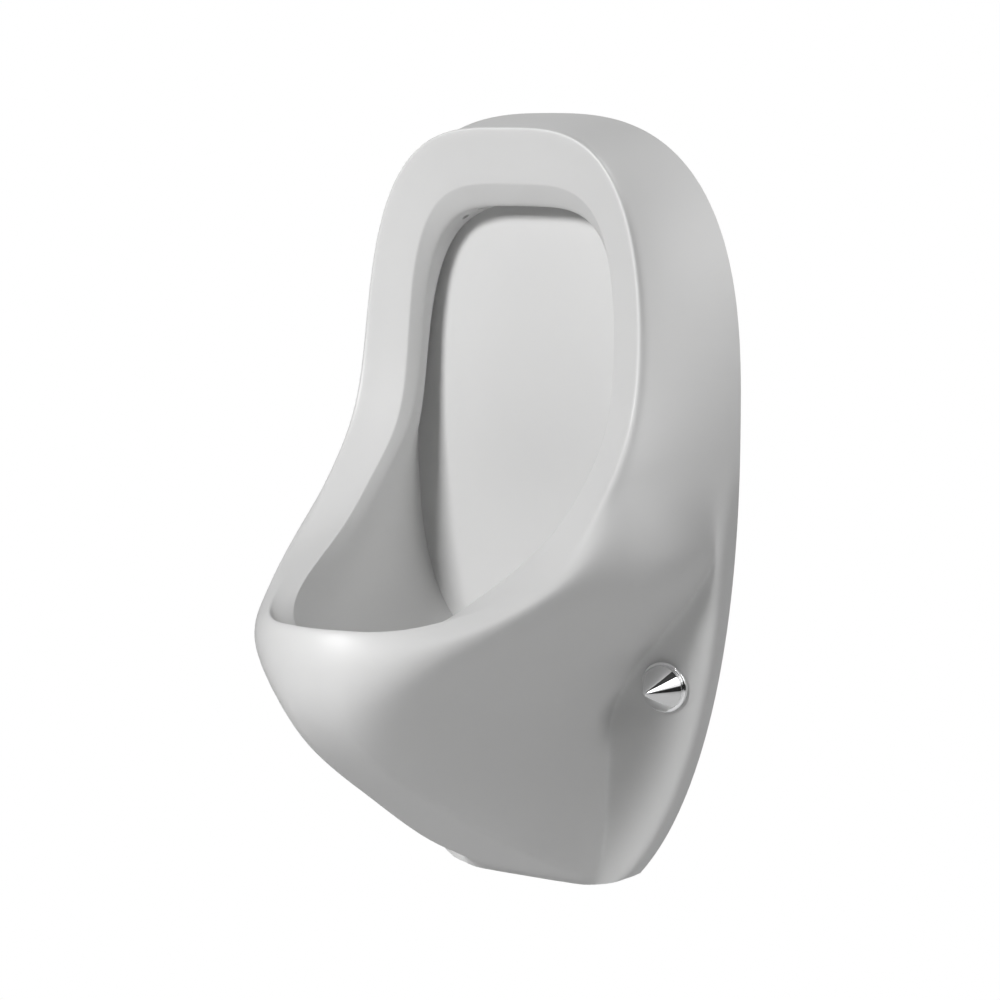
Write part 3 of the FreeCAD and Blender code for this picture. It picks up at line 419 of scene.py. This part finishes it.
def towards_middle(x, z, distance):
    """Points of a wall outline moved by a distance towards the middle of the panel."""
    point = place(x, 0, z)
    gap = np.array([0, 0, PANEL_MIDDLE]) - point
    return point + distance * gap / np.linalg.norm(gap, axis=-1, keepdims=True)


arch_mouth = towards_middle(wall_x, wall_z, CONTACT)
skirt_mouth = towards_middle(pinched_x, np.maximum(wall_z, 0), SHELL)
mouth = mix(arch_mouth, skirt_mouth, free[:, None])
rear = place(panel_x * REAR_SHARE, PANEL_REACH - SHELL, mix(PANEL_MIDDLE, panel_z, REAR_SHARE))
panel_edge = skin_rings[-1]
outward = panel_edge - np.array([0, -PANEL_REACH, PANEL_MIDDLE])
spread_out = CORNER_SPREAD * outward / np.linalg.norm(outward, axis=-1, keepdims=True)
corner = panel_edge + spread_out + np.array([0, SHELL / 2, 0])
near = [into_wall(ring) for ring in OUTER_WALL]
far = [across_wall(BOWL_WALL[0], OUTER_WALL[-1]), into_wall(BOWL_WALL[1]), corner]
inside = near + [(near[-1] + far[0]) / 2] + far
flat = [mix(mouth, rear, share) * [1, 0, 1] + rear * [0, 1, 0]
        for share in np.linspace(*WEB_LEVELS, len(inside))]
fold = np.degrees(np.minimum(turn, 2 * np.pi - turn))
web = np.exp(-((fold - WEB_TURN) / WEB_SPREAD) ** WEB_POWER)[:, None]
inside = [mix(ring, level, web) for ring, level in zip(inside, flat)]
deep_mouth = mouth + np.array([0, rear[0, 1], 0])
hollow_rings = np.stack([mouth, deep_mouth] + inside + [rear])
hollow = ruled(hollow_rings, HOLLOW_ROWS)
over = np.maximum(hollow[..., 2:] - CHAMBER_FLOOR, 0)
rise = np.maximum(hollow[..., 2:] - rear[:, 2:], 1e-6)
hollow = mix(hollow, rear, over / rise)
hollow[..., 2] = np.maximum(hollow[..., 2], 0)
under_dish = np.interp(np.hypot(hollow[..., 0], hollow[..., 1] + DRAIN_REACH), *zip(*BOSS_LIMIT))
hollow[..., 2] = np.minimum(hollow[..., 2], under_dish)
print("hollow is", round(float(-hollow[..., 1].min()), 3), "deep")

# %% [markdown]
# ## One closed surface
# The panel, the skin, the contact face on the wall and the hollow follow each other as rows of one grid.
# Shrinking copies of the first and last rings close the panel at its front and at its back. A Boolean then
# drills the holes for the waste, the supply, the flush and the two fixings. The hanger ledges and the boss
# under the drain are small surfaces of the same object.


# %% The casting
def shrunk(ring, shares):
    """Copies of a ring drawn in towards its own middle, at the given shares of its size."""
    middle = ring.mean(0)
    return np.stack([middle + (ring - middle) * share for share in shares])


def rounded_bar(low, high, corner, columns=40):
    """A bar along Y between two corners of a box, whose section is a rectangle with rounded corners."""
    t = np.linspace(0, 2 * np.pi, columns, endpoint=False)
    low, high = np.array(low), np.array(high)
    middle, half = (low + high) / 2, (high - low) / 2
    x = middle[0] + (half[0] - corner) * np.sign(np.cos(t)) + corner * np.cos(t)
    z = middle[2] + (half[2] - corner) * np.sign(np.sin(t)) + corner * np.sin(t)
    return np.stack([np.stack([x, np.full_like(x, y), z], -1) for y in (low[1], high[1])])


def turned(profile, centre, axis, columns=96):
    """A profile of (radius, distance along the axis) pairs carried round a circle about the axis."""
    profile = np.array(profile)
    axis = np.array(axis, dtype=float)
    side = np.cross(axis, [1, 0, 0])
    other = np.cross(axis, side)
    t = np.linspace(0, 2 * np.pi, columns, endpoint=False)
    circle = np.cos(t)[:, None] * side + np.sin(t)[:, None] * other
    return np.array(centre) + profile[:, :1, None] * circle + profile[:, 1, None, None] * axis


def bored(surface, drills):
    """A closed surface less a set of round drills, each a radius, a starting point, an axis and a length."""
    shapes = []
    cutters = [closed_surface(turned([(radius, 0), (radius, length)], start, axis, DRILL_COLUMNS))
               for radius, start, axis, length in drills]
    for name, parts in (("undrilled", [surface]), ("drills", cutters)):
        shape = bpy.data.objects.new(name, joined_mesh(name, parts))
        bpy.context.scene.collection.objects.link(shape)
        shapes.append(shape)
    cut = shapes[0].modifiers.new("bores", "BOOLEAN")
    cut.operation = "DIFFERENCE"
    cut.object = shapes[1]
    mesh = bpy.data.meshes.new_from_object(shapes[0].evaluated_get(bpy.context.evaluated_depsgraph_get()))
    points = np.empty(len(mesh.vertices) * 3)
    mesh.vertices.foreach_get("co", points)
    faces = [list(face.vertices) for face in mesh.polygons]
    for data in [shape.data for shape in shapes] + [mesh]:
        bpy.data.meshes.remove(data)
    return points.reshape(-1, 3), faces


UP, OUT = (0, 0, 1), (0, -1, 0)
BOSS_DROP = 0.014
BOSS_PROFILE = [(0.0236, 0.0135), (0.0236, 0), (0.050, 0), (0.050, 0.018), (0.046, 0.018), (0.034, 0.0135)]
DRILL_COLUMNS = 48
OVERRUN = 0.002
WASTE_RADIUS, WASTE_START, WASTE_LENGTH = 0.0235, SEAT_HEIGHT - 0.03, 0.05
INLET_RADIUS, INLET_HEIGHT, INLET_LENGTH = 0.012, 0.524, 0.012
FLUSH_RADIUS, FLUSH_REACH, FLUSH_START, FLUSH_LENGTH = 0.0025, 0.028, 0.470, 0.036
FLUSH_X = np.linspace(-0.054, 0.054, 9)
FIXING_RADIUS = 0.008
LEDGE_X, LEDGE_HALF, LEDGE_CORNER = 0.120, 0.017, 0.002
LEDGE_REACH, LEDGE_HEIGHTS = (0.006, 0.016), (0.425, 0.441)
SHRINK = np.linspace(0.04, 0.96, 14)
CONTACT_SHARES = np.linspace(0, 1, 8)[1:-1]

drills = [(WASTE_RADIUS, (0, -DRAIN_REACH, FOOT + WASTE_START), UP, WASTE_LENGTH),
          (INLET_RADIUS, (0, OVERRUN, FOOT + INLET_HEIGHT), OUT, INLET_LENGTH)]
drills += [(FLUSH_RADIUS, (x, -FLUSH_REACH, FOOT + FLUSH_START), UP, FLUSH_LENGTH) for x in FLUSH_X]
drills += [(FIXING_RADIUS, (side * FIXING_X, OVERRUN, 0), OUT, FLANGE + 2 * OVERRUN) for side in (-1, 1)]
contact = np.stack([mix(skin[0], hollow[0], share) for share in CONTACT_SHARES])
front, back = shrunk(skin[-1], SHRINK), shrunk(hollow[-1], SHRINK[::-1])
rows = np.concatenate([front, skin[::-1], contact, hollow, back])
body = closed_surface(rows + np.array([0, 0, FOOT]))
surfaces = [bored(body, drills)]
for side in (-1, 1):
    low = (side * LEDGE_X - LEDGE_HALF, -LEDGE_REACH[1], LEDGE_HEIGHTS[0] + FOOT)
    high = (side * LEDGE_X + LEDGE_HALF, -LEDGE_REACH[0], LEDGE_HEIGHTS[1] + FOOT)
    surfaces.append(closed_surface(rounded_bar(low, high, LEDGE_CORNER)))
boss = turned(BOSS_PROFILE, (0, -DRAIN_REACH, SEAT_HEIGHT + FOOT - BOSS_DROP), UP)
surfaces.append(ring_surface(boss))
casting = mesh_piece("casting", surfaces, "casting")
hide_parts("ceramic_body")

# %% [markdown]
# ## The cover caps
# Each cap is a polished cone on a round base. Its reflections show the profile at once, so both are turned
# again with many columns and with small radii at the edges. The base is a ring and the cap is hollow, which
# shows when a cap is pulled.


# %% Caps
def rounded_profile(points, radius, steps=6):
    """The profile with a quadratic curve for each inner corner, from a radius before to a radius after."""
    points = np.array(points, dtype=float)
    out = [points[:1]]
    s = np.linspace(0, 1, steps)[:, None]
    for before, corner, after in zip(points[:-2], points[1:-1], points[2:]):
        a = before - corner
        b = after - corner
        a *= min(radius / np.linalg.norm(a), MOST_OF_SIDE)
        b *= min(radius / np.linalg.norm(b), MOST_OF_SIDE)
        out.append(corner + a * (1 - s) ** 2 + b * s ** 2)
    return np.concatenate(out + [points[-1:]])


MOST_OF_SIDE = 0.45
CAP_COLUMNS = 160
BASE_THICKNESS = 0.004
BASE_EDGE, CAP_EDGE = 0.0009, 0.0007
BASE_PROFILE = rounded_profile([(0.0122, 0.0005), (0.0185, 0.0), (0.0185, 0.004), (0.0145, 0.004),
                                (0.0145, 0.007), (0.0122, 0.007)], BASE_EDGE)
CAP_PROFILE = rounded_profile([(0.0002, 0.0236), (0.0022, 0.0236), (0.0150, 0.003), (0.0150, 0.0002),
                               (0.0165, 0.0002), (0.0165, 0.003), (0.0022, 0.026), (0.0011, 0.027),
                               (0.0002, 0.027)], CAP_EDGE)
for side, word in ((-1, "left"), (1, "right")):
    seat = (side * FIXING_X, -FLANGE_SEAT, 0)
    base = mesh_piece(word + "_base", [ring_surface(turned(BASE_PROFILE, seat, OUT))], "casting")
    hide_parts(word + "_cap_base")
    on_base = (seat[0], seat[1] - BASE_THICKNESS, 0)
    cone = closed_surface(turned(CAP_PROFILE, on_base, OUT, CAP_COLUMNS))
    cap = mesh_piece(word + "_cone", [cone], word + "_cap")
    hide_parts(word + "_cover_cap")

# %% [markdown]
# ## Finishes
# The glaze, the metals and the plastics share one effect: a soft drift of tone and gloss, as every
# hand-finished surface has. It is a node group that puts out a colour factor, a roughness and a height, and
# each material gives it its own scale and strength.

# %% Shared effect
drift = bpy.data.node_groups.new("surface_drift", "ShaderNodeTree")
for name, kind, value in (("Scale", "NodeSocketFloat", 20.0), ("Roughness", "NodeSocketFloat", 0.1),
                          ("Spread", "NodeSocketFloat", 0.03), ("Stretch", "NodeSocketVector", (1, 1, 1))):
    socket = drift.interface.new_socket(name, in_out="INPUT", socket_type=kind)
    socket.default_value = value
for name in ("Tone", "Roughness", "Height"):
    drift.interface.new_socket(name, in_out="OUTPUT", socket_type="NodeSocketFloat")
nodes, links = drift.nodes, drift.links
group_in, group_out = nodes.new("NodeGroupInput"), nodes.new("NodeGroupOutput")
coords = nodes.new("ShaderNodeTexCoord")
stretch = nodes.new("ShaderNodeVectorMath")
stretch.operation = "MULTIPLY"
noise = nodes.new("ShaderNodeTexNoise")
noise.inputs["Detail"].default_value = 3
links.new(coords.outputs["Object"], stretch.inputs[0])
links.new(group_in.outputs["Stretch"], stretch.inputs[1])
links.new(stretch.outputs[0], noise.inputs["Vector"])
links.new(group_in.outputs["Scale"], noise.inputs["Scale"])
spread = nodes.new("ShaderNodeMath")
spread.operation = "MULTIPLY_ADD"
links.new(noise.outputs["Fac"], spread.inputs[0])
links.new(group_in.outputs["Spread"], spread.inputs[1])
links.new(group_in.outputs["Roughness"], spread.inputs[2])
links.new(spread.outputs[0], group_out.inputs["Roughness"])
links.new(noise.outputs["Fac"], group_out.inputs["Tone"])
links.new(noise.outputs["Fac"], group_out.inputs["Height"])
print("node group", drift.name, [item.name for item in drift.interface.items_tree])


# %% Material helper
SURFACE_IOR = 1.5
BUMP_DEPTH = 0.0004


def finish_material(name, dark, light, metallic=0.0, scale=20.0, roughness=0.1, spread=0.03,
                    stretch=(1, 1, 1), bump=0.0):
    """A Principled material whose tone, roughness and bump come from the shared drift."""
    material = bpy.data.materials.new(name)
    material.use_nodes = True
    tree = material.node_tree
    shader = tree.nodes["Principled BSDF"]
    shader.inputs["Metallic"].default_value = metallic
    shader.inputs["IOR"].default_value = SURFACE_IOR
    effect = tree.nodes.new("ShaderNodeGroup")
    effect.node_tree = drift
    for key, value in (("Scale", scale), ("Roughness", roughness), ("Spread", spread), ("Stretch", stretch)):
        effect.inputs[key].default_value = value
    tone = tree.nodes.new("ShaderNodeMix")
    tone.data_type = "RGBA"
    tone.inputs["A"].default_value = (*dark, 1)
    tone.inputs["B"].default_value = (*light, 1)
    tree.links.new(effect.outputs["Tone"], tone.inputs["Factor"])
    tree.links.new(tone.outputs["Result"], shader.inputs["Base Color"])
    tree.links.new(effect.outputs["Roughness"], shader.inputs["Roughness"])
    if bump:
        height = tree.nodes.new("ShaderNodeBump")
        height.inputs["Strength"].default_value = bump
        height.inputs["Distance"].default_value = BUMP_DEPTH
        tree.links.new(effect.outputs["Height"], height.inputs["Height"])
        tree.links.new(height.outputs["Normal"], shader.inputs["Normal"])
    return material


def dress(material, *objects):
    """Each object shows this one material in place of what it had."""
    for piece in objects:
        piece.data.materials.clear()
        piece.data.materials.append(material)


# %% Materials
glaze = finish_material("white_glaze", (0.64, 0.64, 0.64), (0.67, 0.67, 0.665),
                        scale=9, roughness=0.42, spread=0.06, bump=0.05)
chrome = finish_material("polished_chrome", (0.86, 0.86, 0.87), (0.92, 0.92, 0.92), metallic=1,
                         scale=90, roughness=0.04, spread=0.05)
steel = finish_material("brushed_steel", (0.55, 0.55, 0.55), (0.68, 0.68, 0.67), metallic=1,
                        scale=160, roughness=0.24, spread=0.2, stretch=(1, 1, 12), bump=0.15)
zinc = finish_material("zinc_plate", (0.50, 0.51, 0.53), (0.66, 0.66, 0.66), metallic=1,
                       scale=130, roughness=0.32, spread=0.2, bump=0.2)
brass = finish_material("machined_brass", (0.62, 0.46, 0.22), (0.76, 0.60, 0.33), metallic=1,
                        scale=120, roughness=0.22, spread=0.2, stretch=(1, 1, 10))
rubber = finish_material("black_rubber", (0.018, 0.018, 0.019), (0.035, 0.035, 0.035),
                         scale=300, roughness=0.6, spread=0.25, bump=0.3)
plastic = finish_material("trap_plastic", (0.74, 0.74, 0.73), (0.80, 0.80, 0.79),
                          scale=60, roughness=0.28, spread=0.12, bump=0.08)
sleeve_plastic = finish_material("sleeve_plastic", (0.60, 0.60, 0.57), (0.70, 0.70, 0.67),
                                 scale=90, roughness=0.4, spread=0.2, bump=0.1)
BY_SLOT = {"glaze": glaze, "cap_chrome": chrome, "waste_steel": steel, "zinc_steel": zinc, "brass": brass,
           "rubber": rubber, "trap_plastic": plastic, "sleeve_plastic": sleeve_plastic}
for part in frame["record"]["subparts"]:
    dress(BY_SLOT[part["material_slot"]], frame["nodes"][part["node"]])
dress(glaze, casting)
for word in ("left", "right"):
    dress(chrome, bpy.data.objects[word + "_base"], bpy.data.objects[word + "_cone"])
print(len(bpy.data.materials), "materials")

# %% [markdown]
# ## Floor, light and background
# The object hangs above a plain pale floor. One soft light stands high in front, a little to the left, a
# weaker one fills from the right and a third lights the back. The world is white to the camera. Mirrors see a
# room instead, dark at the horizon and overhead and white between, because polished metal only reads as metal
# when it has something dark to show.

# %% Stage
FLOOR_DROP = 0.40
FLOOR_HALF = 2.5
FLOOR_TONE = (0.70, 0.70, 0.70, 1)
AMBIENT = 0.05
AIM = (0, -0.08, 0.12)
# How bright a mirrored ray finds the room at each height of its direction.
ROOM = ((0.10, 0.02), (0.16, 1.0), (0.45, 1.0), (0.60, 0.05))

floor_z = FOOT - FLOOR_DROP
corners = [(x * FLOOR_HALF, y * FLOOR_HALF, floor_z) for x, y in ((-1, -1), (1, -1), (1, 1), (-1, 1))]
floor_mesh = bpy.data.meshes.new("floor")
floor_mesh.from_pydata(corners, [], [(0, 1, 2, 3)])
floor = bpy.data.objects.new("floor", floor_mesh)
bpy.context.scene.collection.objects.link(floor)


def seen_white(tree):
    """1 on rays that the camera sends, also through glass, and 0 on all others."""
    path = tree.nodes.new("ShaderNodeLightPath")
    either = tree.nodes.new("ShaderNodeMath")
    either.operation = "MAXIMUM"
    tree.links.new(path.outputs["Is Camera Ray"], either.inputs[0])
    tree.links.new(path.outputs["Is Transmission Ray"], either.inputs[1])
    return either.outputs[0]


pale = bpy.data.materials.new("pale_floor")
pale.use_nodes = True
tree = pale.node_tree
diffuse = tree.nodes["Principled BSDF"]
diffuse.inputs["Base Color"].default_value = FLOOR_TONE
diffuse.inputs["Roughness"].default_value = 0.9
glow = tree.nodes.new("ShaderNodeEmission")
share = tree.nodes.new("ShaderNodeMixShader")
tree.links.new(seen_white(tree), share.inputs["Fac"])
tree.links.new(diffuse.outputs[0], share.inputs[1])
tree.links.new(glow.outputs[0], share.inputs[2])
tree.links.new(share.outputs[0], tree.nodes["Material Output"].inputs["Surface"])
floor_mesh.materials.append(pale)

world = bpy.data.worlds.new("studio")
bpy.context.scene.world = world
world.use_nodes = True
tree = world.node_tree
ambient = tree.nodes["Background"]
ambient.inputs["Color"].default_value = (1, 1, 1, 1)
ways = tree.nodes.new("ShaderNodeTexCoord")
split = tree.nodes.new("ShaderNodeSeparateXYZ")
room = tree.nodes.new("ShaderNodeValToRGB")
stops = room.color_ramp.elements
stops[0].position, stops[1].position = ROOM[0][0], ROOM[-1][0]
for height, _ in ROOM[1:-1]:
    stops.new(height)
for stop, (_, level) in zip(stops, ROOM):
    stop.color = (level, level, level, 1)
tree.links.new(ways.outputs["Generated"], split.inputs[0])
tree.links.new(split.outputs["Z"], room.inputs["Fac"])
path = tree.nodes.new("ShaderNodeLightPath")
unseen = tree.nodes.new("ShaderNodeMix")
unseen.inputs["A"].default_value = AMBIENT
tree.links.new(path.outputs["Is Glossy Ray"], unseen.inputs["Factor"])
tree.links.new(room.outputs["Color"], unseen.inputs["B"])
strength = tree.nodes.new("ShaderNodeMath")
strength.operation = "MAXIMUM"
tree.links.new(seen_white(tree), strength.inputs[0])
tree.links.new(unseen.outputs["Result"], strength.inputs[1])
tree.links.new(strength.outputs[0], ambient.inputs["Strength"])


def softbox(name, place, size, power):
    """A square area light at a place, turned towards the object."""
    data = bpy.data.lights.new(name, "AREA")
    data.size = size
    data.energy = power
    lamp = bpy.data.objects.new(name, data)
    lamp.location = place
    lamp.rotation_euler = (Vector(AIM) - Vector(place)).to_track_quat("-Z", "Y").to_euler()
    bpy.context.scene.collection.objects.link(lamp)


softbox("key", (-0.20, -2.35, 1.30), 0.5, 58)
softbox("fill", (2.05, -0.40, 1.20), 1.0, 13)
softbox("rear", (0.6, 2.0, 1.2), 1.0, 20)

# %% View and sizes
bpy.context.scene.view_settings.view_transform = "Standard"
